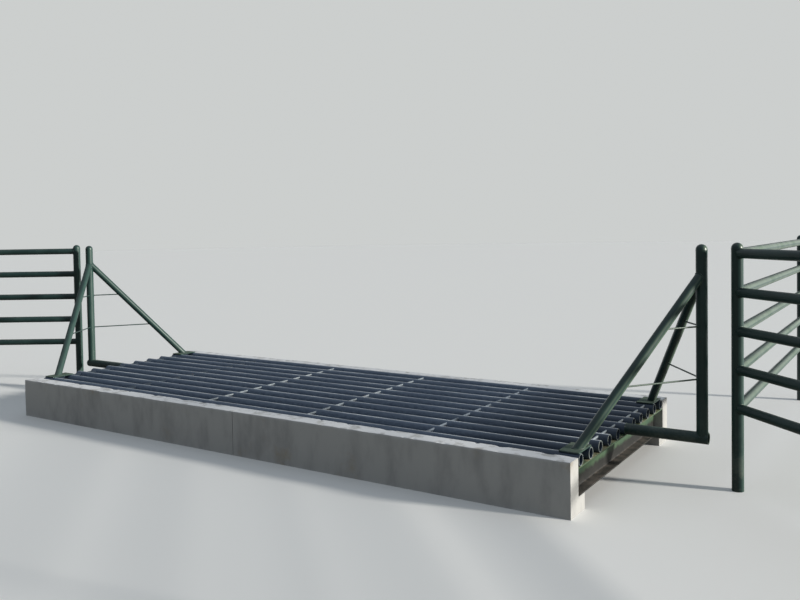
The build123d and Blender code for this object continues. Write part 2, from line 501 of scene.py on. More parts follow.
def new_group(name, *numbers):
    """An empty shader group that turns coordinates and some numbers into a mask."""
    group = bpy.data.node_groups.new(name, "ShaderNodeTree")
    group.interface.new_socket("Vector", in_out="INPUT", socket_type="NodeSocketVector")
    for label in numbers:
        group.interface.new_socket(label, in_out="INPUT", socket_type="NodeSocketFloat")
    group.interface.new_socket("Mask", in_out="OUTPUT", socket_type="NodeSocketFloat")
    return group, put(group, "NodeGroupInput").outputs


def end_group(group, given, *masks):
    """Joins the product of some masks and the group's amount to its output."""
    mask = together(group, "MULTIPLY", *masks, given["Amount"])
    put(group, "NodeGroupOutput", {"Mask": mask})


def patches_group():
    """Ragged patches: cloudy noise broken by finer noise, kept above a level set by the amount."""
    group, given = new_group("Ragged Patches", "Scale", "Amount")
    fine = sums(group, "MULTIPLY", given["Scale"], 6.0)
    broad = noise(group, given["Vector"], given["Scale"], 4.0, 0.6)
    grain = noise(group, given["Vector"], fine, 2.0, 0.6)
    mixed = sums(group, "MULTIPLY_ADD", grain, 0.3, broad)
    level = sums(group, "MULTIPLY_ADD", given["Amount"], -0.5, 0.95)
    mask = smooth_step(group, mixed, level, sums(group, "ADD", level, 0.07))
    put(group, "NodeGroupOutput", {"Mask": mask})


def dust_group():
    """Settled dust: the upward share of the surface, thinned by cloudy noise."""
    group, given = new_group("Settled Dust", "Scale", "Amount")
    upward = smooth_step(group, facing(group)[2], 0.35, 1.0)
    cloud = noise(group, given["Vector"], given["Scale"], 5.0, 0.62)
    end_group(group, given, upward, smooth_step(group, cloud, 0.32, 0.72))


def splash_group():
    """Splashed dirt: cloudy specks that thin out from a low level to a high one."""
    group, given = new_group("Splashed Dirt", "Low", "High", "Amount")
    fade = smooth_step(group, parts_of(group, given["Vector"])[2], given["High"], given["Low"])
    specks = noise(group, given["Vector"], 60.0, 4.0, 0.7)
    cloud = noise(group, given["Vector"], 7.0, 3.0, 0.6)
    both = sums(group, "MULTIPLY_ADD", specks, 0.6, sums(group, "MULTIPLY", cloud, 0.6))
    end_group(group, given, smooth_step(group, both, 0.52, 0.72), fade)


def crest_group():
    """Crest wear: a band below the deck's top level, broken lengthwise by stretched noise."""
    group, given = new_group("Crest Wear", "Level", "Depth", "Amount")
    long_cloud = noise(group, stretch(group, given["Vector"], (1.3, 11.0, 0.0)), 1.0, 4.0, 0.6)
    ragged = noise(group, stretch(group, given["Vector"], (14.0, 60.0, 30.0)), 1.0, 3.0, 0.6)
    drop = sums(group, "SUBTRACT", given["Level"], parts_of(group, given["Vector"])[2])
    share = sums(group, "DIVIDE", drop, given["Depth"])
    share = sums(group, "MULTIPLY_ADD", ragged, -0.9, sums(group, "ADD", share, 0.45))
    band = smooth_step(group, sums(group, "MULTIPLY", share, -1.0), -1.0, -0.2)
    run = smooth_step(group, long_cloud, 0.39, 0.66)
    end_group(group, given, band, between(group, run, 0.14, 1.0))


def backdrop_share(tree, beyond):
    """How far a ray meets the pale backdrop: in full from the camera or through glass, and mirrored
    in gloss where the mask says that it lies beyond the object."""
    path = put(tree, "ShaderNodeLightPath").outputs
    straight = sums(tree, "MAXIMUM", path["Is Camera Ray"], path["Is Transmission Ray"])
    mirrored = path["Is Glossy Ray"]
    return sums(tree, "MULTIPLY_ADD", mirrored, beyond, straight), mirrored


def use_group(tree, name, **inputs):
    """Places a group and returns its mask."""
    return put(tree, "ShaderNodeGroup", inputs, node_tree=bpy.data.node_groups[name]).outputs[0]


def new_finish(name):
    """A material with its surface shader and its object coordinates."""
    material = bpy.data.materials.new(name)
    material.use_nodes = True
    tree = material.node_tree
    tree.nodes.clear()
    shader = put(tree, "ShaderNodeBsdfPrincipled")
    put(tree, "ShaderNodeOutputMaterial", {0: shader.outputs[0]})
    place = put(tree, "ShaderNodeTexCoord").outputs["Object"]
    return material, tree, shader.inputs, place


def finish(tree, skin, base, rough, height, distance, strength):
    """Joins colour, roughness and relief to the shader."""
    inputs = {"Height": height, "Strength": strength, "Distance": distance}
    relief = put(tree, "ShaderNodeBump", inputs).outputs[0]
    for name, value in (("Base Color", base), ("Roughness", rough), ("Normal", relief)):
        tree.links.new(value, skin[name])


def green_finish(colours):
    """Gloss paint chalked in clouds, paler on the side facing the lamp (partly sun chalking, partly painted
    light), palest on the foot plates from dust and on sloping pipes at the +X end that face the lamp (dust
    and painted light), with dust on top, splashes low down and a few rust spots."""
    _, tree, skin, place = new_finish("green_pipe_paint")
    x, _, z = parts_of(tree, place)
    toward_x, _, upward = facing(tree)
    cloud = smooth_step(tree, noise(tree, place, 3.5, 5.0, 0.6), 0.40, 0.72)
    worn = noise(tree, place, 6.0, 4.0, 0.6)
    base = blend(tree, between(tree, cloud, 0.0, 0.42), colours.green, colours.green_faded)
    # Painted light, partly sun chalking: paler paint on the side that faces the lamp
    sunny = smooth_step(tree, toward_x, 0.60, 1.00)
    chalk_and_sunlit = together(tree, "MULTIPLY", sunny, between(tree, worn, 0.45, 1.10))
    base = blend(tree, chalk_and_sunlit, base, colours.green_chalk_and_sunlit)
    # Dust on flat plate tops near the deck; dust and painted light on sloping pipes at the +X end facing
    # the lamp
    sloping = smooth_step(tree, sums(tree, "ABSOLUTE", upward), 0.02, 0.30)
    lit = smooth_step(tree, toward_x, 0.30, 0.75)
    at_end = smooth_step(tree, x, 1.0, 3.0)
    dust_and_sunlit_slopes = together(tree, "MULTIPLY", sloping, lit, at_end, between(tree, worn, 0.25, 0.95))
    flat = smooth_step(tree, upward, 0.96, 0.995)
    near_deck = smooth_step(tree, z, CREST + 0.10, CREST + 0.03)
    plate_top = together(tree, "MULTIPLY", flat, near_deck, between(tree, worn, 0.15, 0.60))
    base = blend(tree, sums(tree, "MAXIMUM", dust_and_sunlit_slopes, plate_top), base, colours.green_dust_and_sunlit)
    dust = use_group(tree, "Settled Dust", Vector=place, Scale=9.0, Amount=0.07)
    base = blend(tree, dust, base, colours.dust)
    splash = use_group(tree, "Splashed Dirt", Vector=place, Low=0.10, High=0.70, Amount=0.10)
    base = blend(tree, splash, base, colours.dust)
    rust = use_group(tree, "Ragged Patches", Vector=place, Scale=11.0, Amount=0.10)
    base = blend(tree, rust, base, colours.rust)
    dirt = together(tree, "MAXIMUM", dust, splash, rust)
    rough = together(tree, "MAXIMUM", flat, dirt, sums(tree, "MULTIPLY", cloud, 0.30))
    peel = sums(tree, "MULTIPLY_ADD", noise(tree, place, 260.0, 2.0), 0.25, noise(tree, place, 40.0, 2.0))
    relief = sums(tree, "MULTIPLY_ADD", dirt, 0.5, peel)
    finish(tree, skin, base, between(tree, rough, 0.32, 0.90), relief, 0.0006, 0.35)


def beam_finish(colours):
    """Mid green paint with painted shade low down, straw-coloured dirt on the ledges and rusty patches."""
    _, tree, skin, place = new_finish("beam_green_paint")
    cloud = smooth_step(tree, noise(tree, place, 5.0, 5.0, 0.6), 0.38, 0.70)
    base = blend(tree, between(tree, cloud, 0.0, 0.5), colours.beam_green, colours.green_faded)
    _, _, z = parts_of(tree, place)
    # Painted shade: near black below a ragged level on the beams, as the pit's bank would shade the lower
    # web
    ragged = sums(tree, "MULTIPLY_ADD", noise(tree, place, 16.0, 4.0, 0.65), 0.06, z)
    painted_shade = smooth_step(tree, ragged, PAINTED_SHADE_TOP + 0.04, PAINTED_SHADE_TOP)
    base = blend(tree, painted_shade, base, colours.painted_shade)
    rust = use_group(tree, "Ragged Patches", Vector=place, Scale=7.0, Amount=0.20)
    base = blend(tree, rust, base, colours.rust)
    dust = use_group(tree, "Settled Dust", Vector=place, Scale=14.0, Amount=1.1)
    base = blend(tree, dust, base, blend(tree, painted_shade, colours.straw, colours.silt))
    splash = use_group(tree, "Splashed Dirt", Vector=place, Low=0.10, High=0.24, Amount=0.20)
    base = blend(tree, splash, base, colours.silt)
    dirt = together(tree, "MAXIMUM", dust, splash, rust)
    relief = sums(tree, "MULTIPLY_ADD", dirt, 0.8, noise(tree, place, 55.0, 4.0, 0.65))
    finish(tree, skin, base, between(tree, dirt, 0.48, 0.92), relief, 0.0012, 0.5)


def spacer_finish(colours):
    """Plate pale along its top, less so toward +X but again on the last row, and darker lower down and on
    the two rows at the -X end."""
    _, tree, skin, place = new_finish("spacer_plate_paint")
    x, _, z = parts_of(tree, place)
    cloud = smooth_step(tree, noise(tree, place, 24.0, 4.0, 0.6), 0.35, 0.7)
    # Pale along the top, greyer toward +X but less on the last row, darker below the top edge and on the
    # two -X rows
    dark_rows = smooth_step(tree, x, -1.1, -1.3)
    end_row = smooth_step(tree, x, 2.9, 2.3)
    less_pale = sums(tree, "MULTIPLY", smooth_step(tree, x, -0.5, 1.9), 0.68)
    less_pale = sums(tree, "MULTIPLY", less_pale, between(tree, end_row, 0.3, 1.0))
    below = smooth_step(tree, z, CREST - 0.017, CREST - 0.030)
    dark = sums(tree, "MAXIMUM", dark_rows, below)
    painted = sums(tree, "MAXIMUM", less_pale, between(tree, cloud, 0.0, 0.45))
    base = blend(tree, painted, colours.spacer, colours.deck_grey)
    base = blend(tree, dark, base, colours.spacer_dark)
    rust = use_group(tree, "Ragged Patches", Vector=place, Scale=17.0, Amount=0.28)
    base = blend(tree, rust, base, colours.rust)
    rough = between(tree, together(tree, "MAXIMUM", cloud, rust, dark), 0.70, 1.0)
    finish(tree, skin, base, rough, noise(tree, place, 90.0, 3.0), 0.0008, 0.4)


def deck_finish(colours):
    """Dark mottled paint, lighter down the pipe's sides as painted light, rubbed to broken bare streaks
    along each crest, darker toward the +X end, with bright rims and a few rust spots."""
    _, tree, skin, place = new_finish("deck_pipe_paint")
    x, _, z = parts_of(tree, place)
    long_place = stretch(tree, place, (1.2, 9.0, 9.0))
    fine_place = stretch(tree, place, (22.0, 60.0, 60.0))
    cloud = smooth_step(tree, noise(tree, long_place, 1.6, 5.0, 0.62), 0.36, 0.68)
    grain = smooth_step(tree, noise(tree, fine_place, 1.0, 3.0, 0.6), 0.35, 0.70)
    mottle = sums(tree, "MULTIPLY_ADD", grain, 0.48, between(tree, cloud, 0.0, 0.30))
    base = blend(tree, mottle, colours.deck, colours.deck_grey)
    # Painted light: the sides below the crest are lightened to lift their shade
    low = smooth_step(tree, z, CREST - 0.006, CREST - 0.030)
    painted_side_light = sums(tree, "MULTIPLY", low, between(tree, grain, 0.25, 0.95))
    base = blend(tree, painted_side_light, base, colours.deck_side_painted_light)
    rubbed = use_group(tree, "Crest Wear", Vector=place, Level=CREST, Depth=0.005, Amount=0.30)
    base = blend(tree, rubbed, base, colours.deck_grey)
    # Darker toward the +X end
    kept = sums(tree, "MULTIPLY_ADD", noise(tree, long_place, 2.5, 3.0), 0.8, x)
    kept = sums(tree, "MULTIPLY", smooth_step(tree, kept, DECK_END - 1.1, DECK_END), 0.8)
    base = blend(tree, kept, base, colours.deck_darker_end)
    streak = use_group(tree, "Crest Wear", Vector=place, Level=CREST, Depth=0.0014, Amount=1.2)
    base = blend(tree, streak, base, colours.bare)
    past_rim = sums(tree, "SUBTRACT", sums(tree, "ABSOLUTE", x), DECK_END)
    rim = smooth_step(tree, past_rim, -0.0016, -0.0004)
    rim = sums(tree, "MULTIPLY", rim, smooth_step(tree, noise(tree, place, 30.0, 3.0), 0.3, 0.55))
    base = blend(tree, rim, base, colours.rim)
    rust = use_group(tree, "Ragged Patches", Vector=place, Scale=13.0, Amount=0.12)
    base = blend(tree, rust, base, colours.rust)
    rough = sums(tree, "MAXIMUM", rust, sums(tree, "MULTIPLY", low, 0.8))
    relief = noise(tree, place, 120.0, 3.0, 0.6)
    finish(tree, skin, base, between(tree, rough, 0.34, 0.75), relief, 0.0006, 0.35)


def concrete_finish(colours):
    """Pale concrete with stains, dusty clouds, pale grit on top and small pits."""
    _, tree, skin, place = new_finish("sill_concrete")
    cloud = noise(tree, place, 2.6, 6.0, 0.65)
    run_place = stretch(tree, place, (3.0, 3.0, 1.2))
    stain = smooth_step(tree, noise(tree, run_place, 1.7, 5.0, 0.6), 0.42, 0.74)
    base = blend(tree, between(tree, stain, 0.0, 0.55), colours.concrete, colours.concrete_stain)
    base = blend(tree, smooth_step(tree, cloud, 0.58, 0.78), base, colours.dust)
    lime = use_group(tree, "Settled Dust", Vector=place, Scale=8.0, Amount=2.3)
    base = blend(tree, lime, base, colours.lime)
    pits = use_group(tree, "Ragged Patches", Vector=place, Scale=42.0, Amount=0.20)
    base = blend(tree, sums(tree, "MULTIPLY", pits, 0.6), base, colours.concrete_stain)
    sand = noise(tree, place, 420.0, 2.0, 0.6)
    relief = sums(tree, "MULTIPLY_ADD", pits, -1.2, sums(tree, "MULTIPLY_ADD", sand, 0.35, cloud))
    finish(tree, skin, base, between(tree, stain, 0.86, 0.95), relief, 0.0015, 0.45)


# Pieces


def finish_of(name):
    """Material that a CAD node wears."""
    for start, material in (
        ("deck_pipe", "deck_pipe_paint"),
        ("cross_beam", "beam_green_paint"),
        ("pipe_spacers", "spacer_plate_paint"),
    ):
        if name.startswith(start):
            return material
    return "sill_concrete" if "sill" in name else "green_pipe_paint"


class GRID_OT_finishes(bpy.types.Operator):
    """Make the finishes and put them on the frame's own pieces"""

    bl_idname = "cattle_grid.finishes"
    bl_label = "Finishes"

    def execute(self, context):
        colours = context.scene.grid_colours
        for make in (patches_group, dust_group, splash_group, crest_group):
            make()
        for make in (green_finish, beam_finish, spacer_finish, deck_finish, concrete_finish):
            make(colours)
        for name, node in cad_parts.items():
            node.data.materials.clear()
            node.data.materials.append(bpy.data.materials[finish_of(name)])
        return {"FINISHED"}


class GRID_OT_deck_pipes(bpy.types.Operator):
    """Make the eleven open deck pipes with their rounded rims"""

    bl_idname = "cattle_grid.deck_pipes"
    bl_label = "Deck pipes"

    def execute(self, context):
        sizes = context.scene.grid_sizes
        for name in PIPES:
            half = (corners(name)[1] - middle(name)) * ALONG
            start, end = middle(name) - half, middle(name) + half
            shell = Shell()
            hollow_pipe(shell, start, end, PIPE_RADIUS, sizes.pipe_wall, sizes.rim, ROUND)
            shell.piece(name + "_skin", "deck_pipe_paint", "deck_steel", [name])
        return {"FINISHED"}


def beam_profile(width, depth, flange, web, root, edge=0.0015):
    """Wide flange outline: four flange tips with cut edges and four root arcs round the web."""
    half, rise = width / 2, depth / 2
    inner = rise - flange
    tip = [(half - edge, rise), (half, rise - edge), (half, inner + edge), (half - edge, inner)]
    right_top = np.concatenate([tip, arc((web / 2 + root, inner - root), root, 90, 180, 6)])
    right_bottom = right_top[::-1] * (1, -1)
    left_bottom = right_top * (-1, -1)
    left_top = right_top[::-1] * (-1, 1)
    return np.concatenate([right_top, right_bottom, left_bottom, left_top])


class GRID_OT_cross_beams(bpy.types.Operator):
    """Make the six rolled beams with root radii"""

    bl_idname = "cattle_grid.cross_beams"
    bl_label = "Cross beams"

    def execute(self, context):
        sizes = context.scene.grid_sizes
        for name in BEAMS:
            low, high = corners(name)
            width, length, depth = high - low
            profile = beam_profile(width, depth, sizes.flange, sizes.web, sizes.root_radius)
            origin = np.array([(low[0] + high[0]) / 2, low[1], (low[2] + high[2]) / 2])
            shell = Shell()
            swept(shell, profile, origin, ALONG, UP, AHEAD, np.linspace(0, length, 5))
            shell.piece(name + "_section", "beam_green_paint", "beam_paint", [name])
        return {"FINISHED"}


def spacer_profile(pitch, radius, height, clearance=0.0004):
    """Plate outline between two pipes: each side an arc round its pipe's centre, foot and top level."""
    reach_out = radius + clearance
    foot = -math.degrees(math.asin(radius / reach_out))
    shoulder = math.degrees(math.asin((height - radius) / reach_out))
    left = arc((-pitch / 2, radius), reach_out, foot, shoulder, 11)
    right = left[::-1] * (-1, 1)
    return np.concatenate([left, right])[::-1]


class GRID_OT_spacers(bpy.types.Operator):
    """Make the spacer plates, cut to the pipes, with their welds"""

    bl_idname = "cattle_grid.spacers"
    bl_label = "Spacer plates"

    def execute(self, context):
        sizes = context.scene.grid_sizes
        levels = np.array([middle(name)[1] for name in PIPES])
        pitch = (levels[-1] - levels[0]) / (len(levels) - 1)
        profile = spacer_profile(pitch, PIPE_RADIUS, height_of("pipe_spacers_1"))
        half = len(profile) // 2
        sides = [profile[1 : half - 1], profile[half + 1 : -1]]
        welds = Shell()
        for name in SPACERS:
            low, high = corners(name)
            shell = Shell()
            for level in levels[:-1] + pitch / 2:
                origin = np.array([low[0], level, low[2]])
                swept(shell, profile, origin, AHEAD, UP, ALONG, [0.0, high[0] - low[0]])
                for face in (low[0], high[0]):
                    for side in sides:
                        curve = np.insert(side + origin[1:], 0, face, axis=1)
                        outward = np.broadcast_to(ALONG, curve.shape)
                        radius = sizes.weld * SPACER_WELD
                        bead(welds, curve, outward, radius, sides=5, lumps=2, closed=False)
            shell.piece(name + "_plates", "spacer_plate_paint", "beam_paint", [name])
        welds.piece("spacer_welds", "deck_pipe_paint", "beam_paint")
        return {"FINISHED"}


def sill_outline(node, sizes):
    """The sill's own section as corners, kerb outward, read from its box and its beams' place."""
    low, high = corners(node)
    beam_low, beam_high = corners(BEAMS[0])
    side = 1.0 if low[1] > DECK_MIDDLE[1] else -1.0
    inner, outer = sorted(abs(level - DECK_MIDDLE[1]) for level in (low[1], high[1]))
    kerb = (beam_high[1] - beam_low[1]) / 2 + sizes.kerb_gap
    ledge = beam_low[2]
    top = high[2]
    chamfer = sizes.kerb_chamfer
    points = [
        (inner, 0.0),
        (outer, 0.0),
        (outer, top - chamfer),
        (outer - chamfer, top),
        (kerb + chamfer, top),
        (kerb, top - chamfer),
        (kerb, ledge),
        (inner, ledge),
    ]
    return np.array(points) * (side, 1.0), side


def even_steps(corner_points, step):
    """Closed outline sampled at even steps, with every corner kept."""
    following = np.roll(corner_points, -1, 0)
    runs = []
    for start, end in zip(corner_points, following):
        count = max(1, int(round(np.linalg.norm(end - start) / step)))
        share = np.linspace(0, 1, count, endpoint=False)[:, None]
        runs.append(start + (end - start) * share)
    return np.concatenate(runs)


def chips(stations, count, deepest, random):
    """Depth of wear along an edge: a sum of bell curves d*exp(-((x - c)/w)^2)."""
    length = stations[-1] - stations[0]
    narrowest, widest, shallowest = 0.008, 0.053, 0.15
    place = stations[0] + length * random.random(count)
    width = narrowest + (widest - narrowest) * random.random(count) ** 2
    depth = deepest * (shallowest + (1 - shallowest) * random.random(count) ** 2)
    bells = depth * np.exp(-(((stations[:, None] - place) / width) ** 2))
    return np.minimum(bells.sum(1), deepest)


def sill_surface(outline, stations, sizes, random):
    """Cast sill: P(x, v) = outline(v) drawn inward by chips that fade away from each upper edge and
    by six shallow ripples. Its underside stays flat."""
    inward = np.roll(outline, -1, 0) - np.roll(outline, 1, 0)
    inward = np.stack([-inward[:, 1], inward[:, 0]], -1)
    inward /= np.linalg.norm(inward, axis=1, keepdims=True)
    centre = outline.mean(0)
    if ((centre - outline) * inward).sum() < 0:
        inward = -inward
    depth = np.zeros((len(stations), len(outline)))
    for edge in chipped_edges(outline):
        gap = np.linalg.norm(outline - edge, axis=1)
        fade = np.exp(-((gap / sizes.chip_reach) ** 2))
        depth += chips(stations, sizes.chip_count, sizes.chip, random)[:, None] * fade[None]
    ripple, foot = 0.00025, 0.002
    along = np.arange(len(outline)) / len(outline)
    for wave in random.random((6, 3)):
        phase = stations[:, None] * (2 + 9 * wave[0]) + 2 * np.pi * (along[None] * 3 + wave[2])
        depth += ripple * (1 + np.sin(phase))
    depth[:, outline[:, 1] < foot] = 0.0
    points = outline[None] + depth[..., None] * inward[None]
    x = np.broadcast_to(stations[:, None], depth.shape)
    return np.stack([x, DECK_MIDDLE[1] + points[..., 0], points[..., 1]], -1)


def chipped_edges(outline):
    """The kerb's two upper edges, where a sill chips: the ends of the outline's top run."""
    tolerance = 0.001
    near_top = outline[outline[:, 1] > outline[:, 1].max() - tolerance]
    return near_top[np.argmin(near_top[:, 0])], near_top[np.argmax(near_top[:, 0])]


class GRID_OT_sills(bpy.types.Operator):
    """Make the four lengths of sill with their chipped edges"""

    bl_idname = "cattle_grid.sills"
    bl_label = "Sills"

    def execute(self, context):
        sizes = context.scene.grid_sizes
        step_round, step_along, first_seed = 0.016, 0.014, 31
        for index, name in enumerate(SILLS):
            low, high = corners(name)
            points, side = sill_outline(name, sizes)
            outline = even_steps(points, step_round)
            if side < 0:
                outline = outline[::-1]
            stations = np.linspace(low[0], high[0], int((high[0] - low[0]) / step_along))
            random = np.random.default_rng(first_seed + index)
            shell = Shell()
            shell.capped(sill_surface(outline, stations, sizes, random))
            shell.piece(name + "_cast", "sill_concrete", "concrete", [name], 50.0)
        return {"FINISHED"}


def rounded_plate(low, high, rounding, bevel=0.0012, count=7):
    """Plate whose outline is a rectangle with round corners, drawn in at top and bottom by a bevel."""
    half = (high - low)[:2] / 2 - rounding
    centre = (low + high)[:2] / 2
    turn = np.radians([np.linspace(start, start + 90, count) for start in (0, 90, 180, 270)]).ravel()
    signs = np.repeat([(1, 1), (-1, 1), (-1, -1), (1, -1)], count, axis=0)
    circle = np.stack([np.cos(turn), np.sin(turn)], -1)

    def loop(radius, level):
        flat = centre + signs * half + radius * circle
        return np.concatenate([flat, np.full((len(flat), 1), level)], 1)

    levels = [(bevel, low[2]), (0, low[2] + bevel), (0, high[2] - bevel), (bevel, high[2])]
    return np.stack([loop(rounding - drawn_in, level) for drawn_in, level in levels])


class GRID_OT_wings(bpy.types.Operator):
    """Make both wings: outrigger, post, braces, rods, foot plates and their welds"""

    bl_idname = "cattle_grid.wings"
    bl_label = "Wings"

    def execute(self, context):
        sizes = context.scene.grid_sizes
        for name, side in (("left", -1.0), ("right", 1.0)):
            self.wing(name, side, sizes)
        return {"FINISHED"}

    def wing(self, name, side, sizes):
        """One wing, from the CAD pieces' own places."""
        axis = middle(f"{name}_wing_post")
        welds = Shell()
        self.post(welds, name, side, sizes, axis)
        plates = f"{name}_wing_foot_plates"
        plate_low, plate_high = corners(plates)
        far_out = plate_high[1] - axis[1]
        near_in = far_out - self.plate_length(plates)
        head = np.array([axis[0], axis[1], CREST + sizes.brace_head])
        rods, shell = Shell(), Shell()
        for end_side, which in ((-1.0, "front"), (1.0, "rear")):
            edges = sorted(axis[1] + end_side * np.array([near_in, far_out]))
            box_low = np.array([plate_low[0], edges[0], plate_low[2]])
            box_high = np.array([plate_high[0], edges[1], plate_high[2]])
            shell.grid(closed_rows(rounded_plate(box_low, box_high, sizes.plate_rounding)))
            centre = (box_low + box_high) / 2
            foot = np.array([centre[0] + side * sizes.brace_shift, centre[1], box_high[2]])
            self.brace(welds, f"{name}_wing_{which}_brace", foot, head, sizes, axis)
            self.rods(rods, welds, foot, head, axis, sizes)
        shell.piece(f"{name}_wing_foot_plates_cut", *GREEN, [plates])
        rods.piece(f"{name}_wing_rods_round", *GREEN, [f"{name}_wing_rods"])
        welds.piece(f"{name}_wing_welds", *GREEN, smooth=60.0)

    def post(self, welds, name, side, sizes, axis):
        """The outrigger that goes on from the middle deck pipe, and the post cut to sit on it."""
        low, high = corners(f"{name}_wing_outrigger")
        level = (low[2] + high[2]) / 2
        start = np.array([low[0], axis[1], level])
        end = np.array([high[0], axis[1], level])
        shell = Shell()
        hollow_pipe(shell, start, end, PIPE_RADIUS, sizes.pipe_wall, sizes.rim)
        node = f"{name}_wing_outrigger"
        shell.piece(node + "_skin", *GREEN, [node])

        turn = np.linspace(0, 2 * np.pi, ROUND, endpoint=False)
        sideways = POST_RADIUS * np.sin(turn)
        foot = level + np.sqrt(np.maximum(PIPE_RADIUS**2 - sideways**2, sizes.post_lift**2))
        node = f"{name}_wing_post"
        surface = post_surface(axis, foot, corners(node)[1][2], sizes)
        shell = Shell()
        shell.grid(closed_rows(surface))
        shell.piece(node + "_skin", *GREEN, [node])
        bead(welds, surface[0], radial(surface[0], axis, UP), sizes.weld)
        joint = ring(end if side < 0 else start, ALONG, PIPE_RADIUS)
        bead(welds, joint, radial(joint, start, ALONG), sizes.weld * THIN_WELD)

    def plate_length(self, node):
        """Length of one plate of a pair, read from the CAD node's own points."""
        points = np.array([v.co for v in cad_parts[node].data.vertices])
        front = points[points[:, 1] < DECK_MIDDLE[1]]
        return float(front[:, 1].max() - front[:, 1].min())

    def brace(self, welds, node, foot, head, sizes, axis):
        """Sloping pipe cut level at its plate, and at its head to the post and to the other brace."""
        heading = unit(head - foot)
        base = ring(foot, heading, sizes.rail_radius)
        low = (foot[2] - base[:, 2]) / heading[2]
        on_post = reach(base, heading, axis, UP, POST_RADIUS, False)
        on_middle = (axis[1] - base[:, 1]) / heading[1]
        high = np.minimum(on_post, on_middle)
        shell = Shell()
        foot_curve, head_curve = bar(shell, foot, head, sizes.rail_radius, low, high)
        shell.piece(node + "_pipe", *GREEN, [node])
        bead(welds, foot_curve, radial(foot_curve, foot, heading), sizes.weld)
        bead(welds, head_curve, radial(head_curve, foot, heading), sizes.weld)

    def rods(self, shell, welds, foot, head, axis, sizes):
        """Two level rods from the post to one brace, at thirds of the brace."""
        heading = unit(head - foot)
        radius, sides = sizes.rod_radius, 20
        for share in (1 / 3, 2 / 3):
            on_brace = foot + (head - foot) * share
            on_post = np.array([axis[0], axis[1], on_brace[2]])
            run = unit(on_brace - on_post)
            base = ring(on_post, run, radius, sides)
            low = reach(base, run, axis, UP, POST_RADIUS, True)
            high = reach(base, run, foot, heading, sizes.rail_radius, False)
            for curve in bar(shell, on_post, on_brace, radius, low, high, sides):
                bead(welds, curve, radial(curve, on_post, run), sizes.rod_weld, lumps=5)


class GRID_OT_fences(bpy.types.Operator):
    """Make the fence posts, the rails cut to them, and their welds"""

    bl_idname = "cattle_grid.fences"
    bl_label = "Fences"

    def execute(self, context):
        sizes = context.scene.grid_sizes
        for name in FENCE_POSTS:
            low, high = corners(name)
            shell = Shell()
            foot = np.full(ROUND, low[2])
            surface = post_surface(middle(name), foot, high[2], sizes)
            shell.grid(closed_rows(surface))
            shell.piece(name + "_skin", *GREEN, [name])
        for name, (first, last) in RAILS.items():
            self.rails(name, middle(first), middle(last), corners(first)[1][2], sizes)
        return {"FINISHED"}

    def rails(self, name, first, last, top, sizes):
        """One bay's level rails, each end cut to its post."""
        shell, welds = Shell(), Shell()
        for index in range(sizes.rail_count):
            level = top - sizes.rail_drop - index * sizes.rail_pitch
            start = np.array([first[0], first[1], level])
            end = np.array([last[0], last[1], level])
            heading = unit(end - start)
            base = ring(start, heading, sizes.rail_radius)
            low = reach(base, heading, start, UP, POST_RADIUS, True)
            high = reach(base, heading, end, UP, POST_RADIUS, False)
            for curve in bar(shell, start, end, sizes.rail_radius, low, high):
                bead(welds, curve, radial(curve, start, heading), sizes.weld)
        shell.piece(name + "_pipes", *GREEN, [name])
        welds.piece(name + "_welds", *GREEN, smooth=60.0)


class GRID_OT_seat_welds(bpy.types.Operator):
    """Make the short welds where each deck pipe sits on a beam"""

    bl_idname = "cattle_grid.seat_welds"
    bl_label = "Seat welds"

    def execute(self, context):
        sizes = context.scene.grid_sizes
        shell = Shell()
        flange_share = 0.45
        run = np.linspace(-1, 1, 7)[:, None] * ALONG * flange_share
        for beam in BEAMS:
            low, high = corners(beam)
            across_beam = run * (high[0] - low[0]) / 2
            for pipe in PIPES:
                for side in (-1.0, 1.0):
                    place_y = middle(pipe)[1] + side * sizes.seat_spread
                    centre = np.array([(low[0] + high[0]) / 2, place_y, high[2] + sizes.seat_rise])
                    curve = centre + across_beam
                    outward = np.broadcast_to(UP, curve.shape)
                    bead(shell, curve, outward, sizes.weld, lumps=3, closed=False)
        shell.piece("pipe_seat_welds", "deck_pipe_paint", "beam_paint", smooth=60.0)
        return {"FINISHED"}


# Stage


